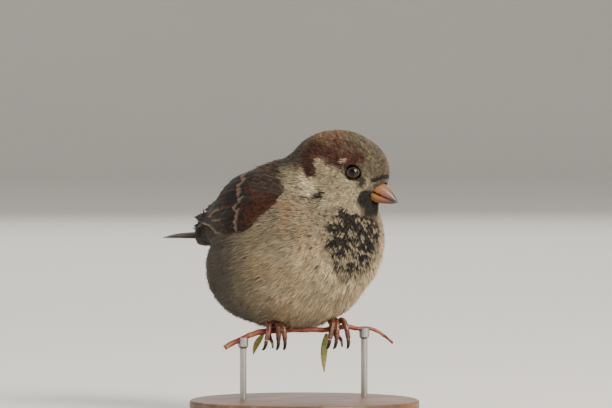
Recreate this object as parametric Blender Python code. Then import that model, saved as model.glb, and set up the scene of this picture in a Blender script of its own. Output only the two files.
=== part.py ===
"""Adult male house sparrow, fluffed up and gripping a cut length of twig on a display stand.

Sizes are written in millimetres and turned into metres by MM. X runs forward along the trunk,
Y to the bird's left and Z up. The origin is the middle of the stand's underside.
"""

import math

import bmesh
import bpy
from mathutils import Matrix, Vector
from mathutils.bvhtree import BVHTree

MM = 0.001
GAP = 0.3
HALF_GAP = GAP / 2.0

TWIG_HEIGHT = 30.4
TWIG_YAW = 68.0
TWIG_RADIUS = 0.95
FEET_APART = 23.6

HEAD_CENTRE = Vector((17.4, 2.2, 87.7))
HEAD_YAW = 25.0
EYE_RADIUS = 2.35
EYE_PLACE = Vector((9.4, 8.9, 0.9))

BODY_VOXEL = 1.4
BODY_SMOOTH_PASSES = 26
BODY_TRIANGLES = 2000

# Each lump of the fluffed body: centre, radii and the pitch that lifts its front end.
TRUNK_LUMPS = {
    "chest": ((8.0, 0.0, 64.0), (22.5, 26.0, 26.0), 20.0),
    "middle": ((-6.0, 0.0, 60.5), (34.5, 29.5, 28.0), 24.0),
    "belly": ((-6.0, 0.0, 50.5), (28.5, 27.6, 20.5), 4.0),
    "vent": ((-21.0, 0.0, 52.5), (22.0, 24.6, 21.5), 20.0),
    "back": ((-16.0, 0.0, 75.0), (27.0, 22.5, 15.5), 29.0),
    "rump": ((-36.0, 0.0, 67.5), (15.0, 14.5, 8.5), 18.0),
    "tail_coverts": ((-43.0, 0.0, 65.2), (20.0, 8.4, 5.6), 1.0),
    "throat": ((14.5, 1.0, 73.5), (16.0, 19.0, 15.0), 10.0),
    "nape": ((3.5, 1.0, 83.0), (17.0, 18.0, 14.0), 28.0),
}

# The same for the head, measured from its own centre: forward, right and up.
HEAD_LUMPS = {
    "skull": ((-1.0, 0.0, 2.0), (19.0, 14.6, 14.9), 0.0),
    "forehead": ((7.5, 0.0, 1.0), (12.4, 10.0, 12.4), 0.0),
    "cheek_right": ((1.0, 6.0, -5.0), (11.5, 8.8, 9.6), 0.0),
    "cheek_left": ((1.0, -6.0, -5.0), (11.5, 8.8, 9.6), 0.0),
    "chin": ((8.0, 0.0, -8.0), (8.0, 7.0, 6.5), 0.0),
}

# The bill is measured from the middle of its root, along an axis that points down and forward.
BILL_ROOT = Vector((12.3, 0.0, -5.3))
BILL_PITCH = -25.0
BILL_LENGTH = 12.0
BILL_SUNK = 3.0
CULMEN_HEIGHT = 4.7
GONYS_DEPTH = 3.9
BILL_HALF_WIDTH = 4.1
LOWER_SHORTER = 0.7

# Upper and lower edges of the folded right wing, from the shoulder back to its tip.
WING_TOP_EDGE = ((14, -20, 86), (-8, -14.5, 90.2), (-28, -8.5, 85.4), (-43, -5.6, 77.4), (-58, -3.4, 70.4))
WING_LOW_EDGE = ((12, -24, 78), (1, -28.6, 68), (-14, -27.6, 65.0), (-33, -16.5, 65.6), (-58, -5.2, 69.2))
WING_BULGE = 3.6
WING_PROUD = 1.1
WING_EDGE_PROUD = 0.35
WING_LOOSE_FROM = 0.45
WING_FREEDOM = 12.0
WING_ROOM = 3.0
WING_CLEARANCE = 0.5
WING_THICK_FRONT = 4.0
WING_THICK_TIP = 0.9
WING_STATIONS = 13
WING_ROWS = 5

TAIL_START = Vector((-30.0, 0.0, 65.4))
TAIL_END = Vector((-75.0, 0.0, 62.9))
TAIL_HALF_WIDTHS = (4.2, 6.6)
TAIL_THICKNESSES = (1.8, 0.9)
TAIL_ROOF = 1.1
TAIL_NOTCH = 2.2

# Toe paths in a foot's own frame: across along the twig, forward over it, and up from its middle.
FRONT_TOE_SPREAD = {"inner": (1.5, 3.2), "middle": (0.1, 0.7), "outer": (-1.6, -3.9)}
FRONT_TOE_PATH = ((-1.2, 2.6), (1.3, 3.5), (3.2, 2.2), (3.9, -0.6), (3.5, -3.3))
HIND_TOE_PATH = ((-1.6, 2.4), (-3.3, 1.4), (-3.5, -0.9), (-2.0, -2.6), (0.1, -3.0))
HIND_TOE_ASIDE = -1.5
FRONT_CLAW_PATH = ((3.4, -3.7), (3.1, -5.0), (2.0, -6.4), (0.6, -7.0))
HIND_CLAW_PATH = ((0.55, -3.1), (2.0, -3.6), (3.2, -4.6), (3.6, -6.2))
TOE_RADIUS = 0.96
CLAW_RADIUS = 0.62
PALM = Vector((0.0, -1.4, 2.7))
PALM_RADIUS = 1.5
SHANK_RADIUS = 0.95
SHANK_TOP = Vector((0.0, -3.6, 12.0))
FOOT_VOXEL = 0.26
FOOT_TRIANGLES = 440
FOOT_ROOM_TRIANGLES = 260

# Distance along the twig from the middle of the feet, and height.
TWIG_ROUTE = ((-30.5, 24.4), (-24.8, 27.2), (-17.5, 29.8), (-8.0, 30.4), (0.0, 30.4), (9.0, 30.4),
              (16.0, 31.4), (20.5, 30.4), (25.5, 30.4), (30.0, 28.3), (34.0, 25.0))
TWIG_SIDES = 8
LEAVES = {
    "leaf_near_right_foot": (-15.6, Vector((-5.4, 0.6, -6.4)), 1.2, 10.2),
    "leaf_near_left_foot": (8.8, Vector((-2.6, 1.2, -13.4)), 1.3, 14.8),
}
LEAF_THICKNESS = 0.5
LEAF_BEHIND = 0.7

BASE_RADIUS = 42.0
BASE_HEIGHT = 5.0
BASE_EDGE = 1.0
ROD_RADIUS = 1.2
ROD_PLACES = {"stand_rod_right": -23.5, "stand_rod_left": 23.0}
CRADLE_RADIUS = 1.9
CRADLE_HEIGHT = 4.0


def spin(yaw=0.0, pitch=0.0):
    """Rotation that first lifts the front by pitch, then turns it to the left by yaw."""
    turn = Matrix.Rotation(math.radians(yaw), 4, "Z")
    return turn @ Matrix.Rotation(math.radians(-pitch), 4, "Y")


def head_point(forward, right, up):
    """Place given in the head's own directions, in millimetres of the world."""
    return HEAD_CENTRE + spin(HEAD_YAW) @ Vector((forward, -right, up))


def mix(low, high, share):
    return low + (high - low) * share


def smooth_path(points, count):
    """Evenly stepped points of a Catmull-Rom curve through the given ones."""
    places = [Vector(point) for point in points]
    places = [places[0] * 2 - places[1]] + places + [places[-1] * 2 - places[-2]]
    spans = len(places) - 3
    found = []
    for step in range(count):
        position = step * spans / (count - 1)
        span = min(int(position), spans - 1)
        t = position - span
        a, b, c, d = places[span:span + 4]
        found.append(0.5 * (b * 2 + (c - a) * t + (a * 2 - b * 5 + c * 4 - d) * t ** 2
                            + (b * 3 - a - c * 3 + d) * t ** 3))
    return found


def material(name, colour, roughness, metallic=0.0):
    """The named Principled material, made once."""
    if name in bpy.data.materials:
        return bpy.data.materials[name]
    made = bpy.data.materials.new(name)
    made.use_nodes = True
    shader = made.node_tree.nodes["Principled BSDF"]
    shader.inputs["Base Color"].default_value = (*colour, 1.0)
    shader.inputs["Roughness"].default_value = roughness
    shader.inputs["Metallic"].default_value = metallic
    return made


def link(name, mesh, finish, smooth_angle=40.0):
    """Object that holds this mesh, which is still in millimetres."""
    mesh.transform(Matrix.Scale(MM, 4))
    made = bpy.data.objects.new(name, mesh)
    bpy.context.scene.collection.objects.link(made)
    mesh.materials.clear()
    mesh.materials.append(finish)
    mesh.shade_smooth()
    mesh.set_sharp_from_angle(angle=math.radians(smooth_angle))
    return made


def finished(solid, name):
    """Mesh of this bmesh, with its faces turned out."""
    bmesh.ops.recalc_face_normals(solid, faces=solid.faces)
    mesh = bpy.data.meshes.new(name)
    solid.to_mesh(mesh)
    solid.free()
    return mesh


def evaluated_copy(mesh, settings):
    """This mesh after a stack of modifiers, given as (type, values)."""
    guide = bpy.data.objects.new("guide", mesh)
    bpy.context.scene.collection.objects.link(guide)
    for kind, values in settings:
        modifier = guide.modifiers.new(kind, kind)
        for key, value in values.items():
            setattr(modifier, key, value)
    graph = bpy.context.evaluated_depsgraph_get()
    result = bpy.data.meshes.new_from_object(guide.evaluated_get(graph))
    bpy.data.objects.remove(guide)
    return result


def merged(mesh, voxel, passes, triangles):
    """One closed surface round overlapping pieces, with soft joints and few faces."""
    surface = [("REMESH", {"mode": "VOXEL", "voxel_size": voxel}),
               ("SMOOTH", {"factor": 0.5, "iterations": passes})]
    fine = evaluated_copy(mesh, surface)
    share = triangles / (2.0 * len(fine.polygons))
    return evaluated_copy(fine, [("DECIMATE", {"ratio": share})])


def loft(rings, name):
    """Closed solid through rings of points that all have the same count."""
    solid = bmesh.new()
    loops = [[solid.verts.new(point) for point in ring] for ring in rings]
    for near, far in zip(loops, loops[1:]):
        for index in range(len(near)):
            after = (index + 1) % len(near)
            solid.faces.new((near[index], near[after], far[after], far[index]))
    solid.faces.new(reversed(loops[0]))
    solid.faces.new(loops[-1])
    bmesh.ops.triangulate(solid, faces=solid.faces[:], quad_method="FIXED")
    return finished(solid, name)


def tube_rings(path, radii, sides, flatness=1.0):
    """Rings round a path. The first ring's top side faces up, and no ring twists."""
    rings = []
    side = None
    for index, point in enumerate(path):
        ahead = path[min(index + 1, len(path) - 1)] - path[max(index - 1, 0)]
        ahead.normalize()
        if side is None:
            start = Vector((0, 0, 1)) if abs(ahead.z) < 0.9 else Vector((1, 0, 0))
            side = ahead.cross(start)
        side = (side - ahead * side.dot(ahead)).normalized()
        up = side.cross(ahead)
        radius = radii[index]
        ring = []
        for step in range(sides):
            angle = 2 * math.pi * step / sides
            ring.append(point + side * math.cos(angle) * radius * flatness + up * math.sin(angle) * radius)
        rings.append(ring)
    return rings


def grown(mesh, distance, name):
    """Copy of a closed mesh with every face moved out by this distance."""
    solid = bmesh.new()
    solid.from_mesh(mesh)
    solid.normal_update()
    moves = [vert.normal * vert.calc_shell_factor() * distance for vert in solid.verts]
    for vert, move in zip(solid.verts, moves):
        vert.co += move
    return finished(solid, name)


def add_cutter(mesh):
    """Hidden object that only cuts others."""
    cutter = link("cut_" + mesh.name, mesh, material("guide", (0.5, 0.5, 0.5), 0.5))
    cutter.hide_render = True
    cutter.display_type = "WIRE"
    return cutter


def cut(target, cutter):
    difference = target.modifiers.new("Clear " + cutter.name, "BOOLEAN")
    difference.operation = "DIFFERENCE"
    difference.solver = "EXACT"
    difference.object = cutter


def without(mesh, room):
    """This closed mesh with the space of another taken out."""
    cutter = bpy.data.objects.new("room", room)
    bpy.context.scene.collection.objects.link(cutter)
    settings = {"operation": "DIFFERENCE", "solver": "EXACT", "object": cutter}
    result = evaluated_copy(mesh, [("BOOLEAN", settings)])
    bpy.data.objects.remove(cutter)
    return result


def body_mesh():
    """One closed surface round every lump of the trunk and head."""
    lumps = bmesh.new()
    places = [(Vector(centre), radii, spin(0.0, pitch)) for centre, radii, pitch in TRUNK_LUMPS.values()]
    for centre, radii, pitch in HEAD_LUMPS.values():
        places.append((head_point(*centre), radii, spin(HEAD_YAW, pitch)))
    for centre, radii, turn in places:
        place = Matrix.Translation(centre) @ turn @ Matrix.Diagonal((*radii, 1.0))
        bmesh.ops.create_icosphere(lumps, subdivisions=4, radius=1.0, matrix=place)
    return merged(finished(lumps, "lumps"), BODY_VOXEL, BODY_SMOOTH_PASSES, BODY_TRIANGLES)


def surface_of(mesh):
    """Search tree over the faces of a mesh."""
    solid = bmesh.new()
    solid.from_mesh(mesh)
    tree = BVHTree.FromBMesh(solid)
    solid.free()
    return tree


def piece_between(mesh, name, planes):
    """The part of a closed mesh in front of each plane, which is moved in by half the gap."""
    solid = bmesh.new()
    solid.from_mesh(mesh)
    for point, normal in planes:
        facing = Vector(normal).normalized()
        everything = solid.verts[:] + solid.edges[:] + solid.faces[:]
        bmesh.ops.bisect_plane(solid, geom=everything, dist=0.001, plane_co=Vector(point) + facing * HALF_GAP,
                               plane_no=facing, clear_inner=True)
        open_edges = [edge for edge in solid.edges if edge.is_boundary]
        bmesh.ops.holes_fill(solid, edges=open_edges, sides=0)
    bmesh.ops.triangulate(solid, faces=[face for face in solid.faces if len(face.verts) > 4])
    return finished(solid, name)


def flipped(plane):
    point, normal = plane
    return point, tuple(-part for part in normal)


def add_flesh(whole):
    """Head, neck and the four parts of the trunk, cut from one body."""
    face_up = spin(HEAD_YAW) @ Vector((0.58, 0.0, 0.81))
    below_head = (head_point(-2.8, 0.0, -3.4), tuple(face_up))
    below_neck = (head_point(-8.0, 0.0, -10.5), (0.56, 0.12, 0.82))
    behind_breast = ((2.0, 0.0, 62.0), (0.94, 0.0, -0.34))
    under_back = ((-10.0, 0.0, 71.0), (-0.38, 0.0, 0.92))
    before_rump = ((-33.0, 0.0, 62.0), (-1.0, 0.0, 0.12))
    trunk = flipped(below_neck)
    behind = flipped(behind_breast)
    pieces = {
        "head": (below_head,),
        "neck": (flipped(below_head), below_neck),
        "breast": (trunk, behind_breast),
        "back": (trunk, behind, under_back, flipped(before_rump)),
        "belly": (trunk, behind, flipped(under_back), flipped(before_rump)),
        "rump": (before_rump,),
    }
    feathers = {
        "head": material("head_feathers", (0.14, 0.075, 0.035), 0.9),
        "neck": material("neck_feathers", (0.22, 0.17, 0.10), 0.9),
        "breast": material("breast_feathers", (0.18, 0.14, 0.085), 0.9),
        "back": material("back_feathers", (0.05, 0.032, 0.02), 0.9),
        "belly": material("belly_feathers", (0.24, 0.19, 0.12), 0.9),
        "rump": material("rump_feathers", (0.10, 0.08, 0.055), 0.9),
    }
    return {name: link(name, piece_between(whole, name, planes), feathers[name], 60.0)
            for name, planes in pieces.items()}


def mirrored(mesh, name):
    copy = mesh.copy()
    copy.name = name
    copy.transform(Matrix.Diagonal((1.0, -1.0, 1.0, 1.0)))
    copy.flip_normals()
    return copy


def wing_face(body):
    """Rows of (place, outward direction) over the right wing, from its shoulder to its tip.

    The front of the wing lies close to the trunk, and its rear half runs free past it.
    """
    upper = smooth_path(WING_TOP_EDGE, WING_STATIONS)
    lower = smooth_path(WING_LOW_EDGE, WING_STATIONS)
    face = []
    for station, (top, low) in enumerate(zip(upper, lower)):
        share = station / (WING_STATIONS - 1)
        down = (low - top).normalized()
        out = down.cross(Vector((-1.0, 0.0, 0.0))).normalized()
        out *= -math.copysign(1.0, out.y)
        bulge = WING_BULGE * math.sqrt(max(1.0 - share, 0.06))
        row = []
        for step in range(WING_ROWS + 1):
            arch = math.sin(math.pi * step / WING_ROWS)
            point = top.lerp(low, step / WING_ROWS) + out * bulge * arch
            touch, normal = body.find_nearest(point)[:2]
            height = (point - touch).dot(normal)
            lowest = WING_EDGE_PROUD + WING_PROUD * arch
            highest = lowest + WING_FREEDOM * max(share - WING_LOOSE_FROM, 0.0)
            facing = normal.lerp(out, share).normalized()
            row.append((point + facing * (min(max(height, lowest), highest) - height), facing))
        face.append(row)
    return face


def widened(rows, distance):
    """Grid of points with a margin of this distance added on all four sides."""
    def past(edge, inside):
        return edge + (edge - inside).normalized() * distance

    wide = [[past(row[0], row[1]), *row, past(row[-1], row[-2])] for row in rows]
    first = [past(edge, inside) for edge, inside in zip(wide[0], wide[1])]
    last = [past(edge, inside) for edge, inside in zip(wide[-1], wide[-2])]
    return [first, *wide, last]


def shell_between(outer, inner, name):
    """Closed slab between two grids of points of the same size.

    Its quads are always split the same way, so that a slab fits in a wider one made like it.
    """
    solid = bmesh.new()
    over = [[solid.verts.new(point) for point in row] for row in outer]
    under = [[solid.verts.new(point) for point in row] for row in inner]
    rows = len(over)
    columns = len(over[0])
    for grid in (over, under):
        for row, after in zip(grid, grid[1:]):
            for i in range(columns - 1):
                solid.faces.new((row[i], row[i + 1], after[i + 1], after[i]))
    for row in (0, rows - 1):
        for i in range(columns - 1):
            solid.faces.new((over[row][i], over[row][i + 1], under[row][i + 1], under[row][i]))
    for column in (0, columns - 1):
        for i in range(rows - 1):
            solid.faces.new((over[i][column], over[i + 1][column], under[i + 1][column], under[i][column]))
    bmesh.ops.triangulate(solid, faces=solid.faces[:], quad_method="FIXED")
    return finished(solid, name)


def add_wings(whole):
    """Both wings. Returns the body with the room that each one clears from its inner face out."""
    body = surface_of(whole)
    feathers = material("wing_feathers", (0.075, 0.04, 0.022), 0.75)
    face = wing_face(body)
    thicknesses = [mix(WING_THICK_FRONT, WING_THICK_TIP, min(1.0, 1.25 * i / (WING_STATIONS - 1)))
                   for i in range(WING_STATIONS)]

    def moved(distances):
        return [[place + facing * distance for place, facing in row] for row, distance in zip(face, distances)]

    outer = moved([0.0] * WING_STATIONS)
    inner = moved([-thickness for thickness in thicknesses])
    outside = widened(moved([WING_ROOM] * WING_STATIONS), WING_CLEARANCE)
    below = widened(moved([-thickness - WING_CLEARANCE for thickness in thicknesses]), WING_CLEARANCE)
    wing = shell_between(outer, inner, "wing_right")
    room = shell_between(outside, below, "wing_room")
    left_wing = mirrored(wing, "wing_left")
    left_room = mirrored(room, "wing_room_left")
    link("wing_right", wing, feathers)
    link("wing_left", left_wing, feathers)
    return without(without(whole, room), left_room)


def tail_mesh(name, growth):
    """Folded tail: a shallow roof that widens to a notched end."""
    stations = 9
    columns = 6
    outer = []
    inner = []
    for station in range(stations):
        share = station / (stations - 1)
        middle = TAIL_START.lerp(TAIL_END, share)
        half = mix(*TAIL_HALF_WIDTHS, share) + growth
        thick = mix(*TAIL_THICKNESSES, share) / 2.0 + growth
        upper = []
        lower = []
        for column in range(columns + 1):
            across = 2.0 * column / columns - 1.0
            forward = TAIL_NOTCH * (1.0 - abs(across)) * share ** 6
            place = middle + Vector((forward, across * half, TAIL_ROOF * (0.5 - abs(across))))
            upper.append(place + Vector((0, 0, thick)))
            lower.append(place - Vector((0, 0, thick)))
        outer.append(upper)
        inner.append(lower)
    return shell_between(outer, inner, name)


def add_tail(flesh):
    link("tail", tail_mesh("tail", 0.0), material("tail_feathers", (0.05, 0.035, 0.024), 0.75))
    cutter = add_cutter(tail_mesh("tail_room", GAP))
    for name in ("back", "belly", "rump"):
        cut(flesh[name], cutter)


def bill_frame():
    place = Matrix.Translation(HEAD_CENTRE) @ spin(HEAD_YAW) @ Matrix.Translation(BILL_ROOT)
    return place @ spin(0.0, BILL_PITCH)


def bill_half(name, height, length, turn, growth=0.0):
    """Upper (turn 1) or lower (turn -1) half of the bill, flat along the line of the gape."""
    stations = 9
    columns = 8
    frame = bill_frame()
    rings = []
    for station in range(stations):
        share = math.sin(0.5 * math.pi * station / (stations - 1))
        distance = mix(-BILL_SUNK, length, share)
        part = max(distance, 0.0) / length
        width = BILL_HALF_WIDTH * max(1.0 - part ** 1.5, 0.02) ** 0.85 + growth
        tall = height * max(1.0 - part ** 1.9, 0.02) ** 0.85 + growth
        floor = -growth if growth else HALF_GAP / 2.0
        ring = []
        for column in range(columns + 1):
            angle = math.pi * column / columns
            ring.append(frame @ Vector((distance, width * math.cos(angle),
                                        turn * (floor + tall * math.sin(angle)))))
        rings.append(ring)
    return loft(rings, name)


def bill_room(name):
    """Space in the head that the root of the closed bill fills."""
    sides = 16
    frame = bill_frame()
    rings = []
    for distance, shrink in ((-BILL_SUNK - GAP, 1.0), (0.0, 1.0), (3.0, 0.93), (6.0, 0.72), (BILL_LENGTH, 0.2)):
        ring = []
        for step in range(sides):
            angle = 2 * math.pi * step / sides
            tall = CULMEN_HEIGHT if math.sin(angle) > 0 else GONYS_DEPTH
            wide = BILL_HALF_WIDTH * shrink + GAP * 1.5
            ring.append(frame @ Vector((distance, wide * math.cos(angle),
                                        (tall * shrink + GAP * 1.5) * math.sin(angle))))
        rings.append(ring)
    return loft(rings, name)


def add_bill(flesh):
    horn = material("bill_horn", (0.34, 0.17, 0.08), 0.4)
    link("bill_upper", bill_half("bill_upper", CULMEN_HEIGHT, BILL_LENGTH, 1.0), horn)
    link("bill_lower", bill_half("bill_lower", GONYS_DEPTH, BILL_LENGTH - LOWER_SHORTER, -1.0), horn)
    cut(flesh["head"], add_cutter(bill_room("bill_room")))


def add_eyes(flesh):
    glass = material("eye", (0.012, 0.008, 0.006), 0.08)
    for side, sign in (("right", 1.0), ("left", -1.0)):
        centre = head_point(EYE_PLACE.x, EYE_PLACE.y * sign, EYE_PLACE.z)
        outward = head_point(EYE_PLACE.x + 0.25, (EYE_PLACE.y + 1.0) * sign, EYE_PLACE.z) - centre
        outward.normalize()
        ball = bmesh.new()
        bmesh.ops.create_icosphere(ball, subdivisions=2, radius=EYE_RADIUS, matrix=Matrix.Translation(centre))
        link("eye_" + side, finished(ball, "eye_" + side), glass)
        path = [centre + outward * distance for distance in (-2.8, -1.6, 0.2, 2.4, 8.0)]
        radii = [1.9, 2.55, 2.9, 2.9, 4.2]
        room = loft(tube_rings(path, radii, 16), "eye_room_" + side)
        cut(flesh["head"], add_cutter(room))


def foot_frame(side):
    """Axes of a foot: X across along the twig, Y forward over it, Z up, from the twig's middle."""
    sign = 1.0 if side == "left" else -1.0
    along = spin(TWIG_YAW) @ Vector((sign * FEET_APART / 2.0, 0.0, TWIG_HEIGHT))
    turn = Matrix.Rotation(math.radians(TWIG_YAW - 180.0), 4, "Z")
    return Matrix.Translation(along) @ turn


def toe_paths():
    """Path of each toe, then that of its claw, in the frame of a foot."""
    found = {}
    for name, (start, end) in FRONT_TOE_SPREAD.items():
        count = len(FRONT_TOE_PATH)
        toe = [(mix(start, end, i / (count - 1)), *place) for i, place in enumerate(FRONT_TOE_PATH)]
        claw = [(end + (end - start) * 0.08 * i, *place) for i, place in enumerate(FRONT_CLAW_PATH)]
        found[name] = (toe, claw)
    hind = [(mix(0.0, HIND_TOE_ASIDE, i / 4), *place) for i, place in enumerate(HIND_TOE_PATH)]
    found["hind"] = (hind, [(HIND_TOE_ASIDE, *place) for place in HIND_CLAW_PATH])
    return found


def twig_path(count):
    turn = spin(TWIG_YAW)
    return smooth_path([turn @ Vector((along, 0.0, height)) for along, height in TWIG_ROUTE], count)


def twig_mesh(name, growth):
    count = 26
    radii = [TWIG_RADIUS * mix(1.08, 0.45, (i / (count - 1)) ** 3) + growth for i in range(count)]
    return loft(tube_rings(twig_path(count), radii, TWIG_SIDES), name)


def leg_mesh(name, place, growth, voxel, triangles):
    """Shank, ball of the foot and four toes as one closed surface, made thicker by growth."""
    leg = bmesh.new()
    middle = place @ Matrix.Translation(PALM)
    bmesh.ops.create_icosphere(leg, subdivisions=3, radius=PALM_RADIUS + growth, matrix=middle)
    shank = [place @ PALM.lerp(SHANK_TOP, share) for share in (0.0, 0.33, 0.66, 1.0)]
    if growth:
        shank.append(shank[-1] * 2.0 - shank[-2])
    tubes = [(shank, [SHANK_RADIUS + growth] * len(shank))]
    for toe, claw in toe_paths().values():
        path = smooth_path([place @ Vector(point) for point in toe], 10)
        tubes.append((path, [mix(1.08, 0.86, i / 9) * TOE_RADIUS + growth for i in range(10)]))
    for path, radii in tubes:
        tube = loft(tube_rings(path, radii, 12), "tube")
        leg.from_mesh(tube)
        bpy.data.meshes.remove(tube)
    return merged(finished(leg, name), voxel, 2, triangles)


def claw_mesh(name, place, route):
    path = smooth_path([place @ Vector(point) for point in route], 6)
    radii = [CLAW_RADIUS * mix(1.0, 0.3, (i / 5) ** 1.4) for i in range(6)]
    return loft(tube_rings(path, radii, 6), name)


def add_legs(flesh, twig_room):
    scales = material("leg_scales", (0.16, 0.06, 0.028), 0.4)
    horn = material("claw_horn", (0.03, 0.018, 0.012), 0.3)
    for side, sign in (("right", -1.0), ("left", 1.0)):
        place = foot_frame(side) @ Matrix.Diagonal((sign, 1.0, 1.0, 1.0))
        leg = link("leg_" + side, leg_mesh("leg_" + side, place, 0.0, FOOT_VOXEL, FOOT_TRIANGLES), scales)
        cut(leg, twig_room)
        for name, (toe, claw) in toe_paths().items():
            claw_name = "claw_" + side + "_" + name
            link(claw_name, claw_mesh(claw_name, place, claw), horn)
        room = leg_mesh("leg_room_" + side, place, GAP * 1.4, FOOT_VOXEL * 1.5, FOOT_ROOM_TRIANGLES)
        cutter = add_cutter(room)
        for name in ("belly", "breast"):
            cut(flesh[name], cutter)


def leaf_mesh(name, along, reach, half_width):
    """Thin hanging blade, widest a third of the way down and folded a little along its middle."""
    turn = spin(TWIG_YAW)
    start = turn @ Vector((along, LEAF_BEHIND, TWIG_HEIGHT - 1.5))
    facing = turn @ Vector((1.0, 0.0, 0.0))
    stations = 9
    outer = []
    inner = []
    for station in range(stations):
        share = station / (stations - 1)
        curl = turn @ Vector((0.0, 1.0, 0.0)) * 1.6 * math.sin(math.pi * share)
        middle = start + reach * share + curl
        down = reach.normalized()
        side = (facing - down * facing.dot(down)).normalized()
        out = down.cross(side)
        wide = half_width * math.sin(math.pi * mix(0.06, 0.985, share) ** 0.8) + 0.12
        thick = out * LEAF_THICKNESS / 2.0
        row = [middle + side * wide * across - out * 0.35 * abs(across) for across in (-1.0, 0.0, 1.0)]
        outer.append([point + thick for point in row])
        inner.append([point - thick for point in row])
    return shell_between(outer, inner, name)


def add_perch():
    bark = material("twig_bark", (0.24, 0.075, 0.05), 0.55)
    green = material("leaf", (0.12, 0.13, 0.035), 0.6)
    link("perch_twig", twig_mesh("perch_twig", 0.0), bark)
    for name, (along, reach, half_width, length) in LEAVES.items():
        link(name, leaf_mesh(name, along, reach.normalized() * length, half_width), green)


def add_stand(twig_room):
    wood = material("stand_base", (0.05, 0.045, 0.04), 0.45)
    steel = material("stand_rod", (0.35, 0.34, 0.32), 0.35, 1.0)
    base = bmesh.new()
    bmesh.ops.create_cone(base, cap_ends=True, segments=48, radius1=BASE_RADIUS, radius2=BASE_RADIUS,
                          depth=BASE_HEIGHT, matrix=Matrix.Translation((0, 0, BASE_HEIGHT / 2.0)))
    rim = [edge for edge in base.edges if min(vert.co.z for vert in edge.verts) > BASE_HEIGHT - 0.01]
    bmesh.ops.bevel(base, geom=rim, offset=BASE_EDGE, segments=2, affect="EDGES", profile=0.5)
    link("stand_base", finished(base, "stand_base"), wood)
    turn = spin(TWIG_YAW)
    for name, along in ROD_PLACES.items():
        foot = turn @ Vector((along, 0.0, BASE_HEIGHT + GAP))
        nearest = min(twig_path(200), key=lambda point: (point.xy - foot.xy).length)
        top = nearest.z + 0.2
        heights = (foot.z, top - CRADLE_HEIGHT, top - CRADLE_HEIGHT + 0.8, top)
        radii = (ROD_RADIUS, ROD_RADIUS, CRADLE_RADIUS, CRADLE_RADIUS)
        path = [Vector((foot.x, foot.y, height)) for height in heights]
        rod = link(name, loft(tube_rings(path, radii, 16), name), steel)
        cut(rod, twig_room)


def main():
    for thing in list(bpy.data.objects):
        bpy.data.objects.remove(thing)
    whole = add_wings(body_mesh())
    flesh = add_flesh(whole)
    add_tail(flesh)
    add_bill(flesh)
    add_eyes(flesh)
    twig_room = add_cutter(twig_mesh("twig_room", GAP))
    for name in ("belly", "breast"):
        cut(flesh[name], twig_room)
    add_legs(flesh, twig_room)
    add_perch()
    add_stand(twig_room)


main()
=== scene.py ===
"""Dresses the house sparrow: skin, plumage, horn, eyes, perch and stand."""

import math

import bmesh
import bpy
import numpy as np
from mathutils import Matrix, Vector, noise
from mathutils.bvhtree import BVHTree


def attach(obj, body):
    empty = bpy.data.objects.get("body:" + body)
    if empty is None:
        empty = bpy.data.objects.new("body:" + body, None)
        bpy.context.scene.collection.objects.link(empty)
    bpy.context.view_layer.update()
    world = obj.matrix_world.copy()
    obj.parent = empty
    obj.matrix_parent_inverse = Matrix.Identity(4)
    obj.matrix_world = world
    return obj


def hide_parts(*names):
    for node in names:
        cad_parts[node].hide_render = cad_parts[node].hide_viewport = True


bl_info = {
    "name": "House Sparrow on a Twig",
    "version": (1, 0, 0),
    "blender": (4, 5, 0),
    "location": "View3D > Sidebar > Sparrow",
    "description": "Dresses a life-size house sparrow in skin, plumage, horn and bark",
    "category": "Object",
}

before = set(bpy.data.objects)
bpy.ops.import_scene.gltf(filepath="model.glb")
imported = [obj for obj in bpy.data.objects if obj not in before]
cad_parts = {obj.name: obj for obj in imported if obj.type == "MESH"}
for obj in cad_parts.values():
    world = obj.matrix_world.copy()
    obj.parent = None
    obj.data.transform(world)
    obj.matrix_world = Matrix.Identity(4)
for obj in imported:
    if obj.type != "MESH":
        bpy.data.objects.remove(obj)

MM = 0.001
FLESH = ("head", "neck", "breast", "back", "belly", "rump")
WINGS = ("wing_right", "wing_left")

# The head's own axes: forward, to the bird's right, and up from its centre.
HEAD_CENTRE = np.array((17.4, 2.2, 87.7)) * MM
HEAD_TURN = math.radians(25)
BILL_ROOT = (12.3, 0, -5.3)
EYE_RADIUS = 2.35 * MM
EYE_PLACE = (9.4, 8.9, 0.9)
TRUNK_CENTRE = np.array((-6, 0, 62)) * MM
TAIL_ROOT = np.array((-58, 0, 63)) * MM

MOST_TRIANGLES = 195000
# The corners of a ribbon's five triangles, from its two sides' points and its tip.
RIBBON = np.array((0, 1, 3, 0, 3, 2, 2, 3, 5, 2, 5, 4, 4, 5, 6))
RIBBON_POINTS = 7
RIBBON_FACES = 5
# The size of a feather's patch on the bake map.
PATCH = 0.003
# The skin's brightness beside that of the feathers over it: the skin is the plumage darkened as
# painted shade under the coat.
SKIN_PAINTED_SHADE = 0.55
SCUTE_LENGTH = 1.12 * MM
SCUTE_HEIGHT = 0.2 * MM
CLAW_GROWTH = 0.16 * MM
# A vane's rise at its middle, as a share of its width.
VANE_CAMBER = 0.0875


# ---- numbers

def head_point(forward, right, up):
    """A place in the row's frame from millimetres in the head's axes."""
    cos, sin = math.cos(HEAD_TURN), math.sin(HEAD_TURN)
    offset = (forward * cos + right * sin, forward * sin - right * cos, up)
    return HEAD_CENTRE + np.array(offset) * MM


def in_head(points):
    """Forward, to the right and up of the head's centre, in millimetres."""
    cos, sin = math.cos(HEAD_TURN), math.sin(HEAD_TURN)
    away = (points - HEAD_CENTRE) / MM
    forward = away[:, 0] * cos + away[:, 1] * sin
    right = away[:, 0] * sin - away[:, 1] * cos
    return np.stack((forward, right, away[:, 2]), axis=1)


def unit(vectors):
    """Each vector at length one."""
    size = np.linalg.norm(vectors, axis=-1, keepdims=True)
    return vectors / np.maximum(size, 1e-9)


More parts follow.
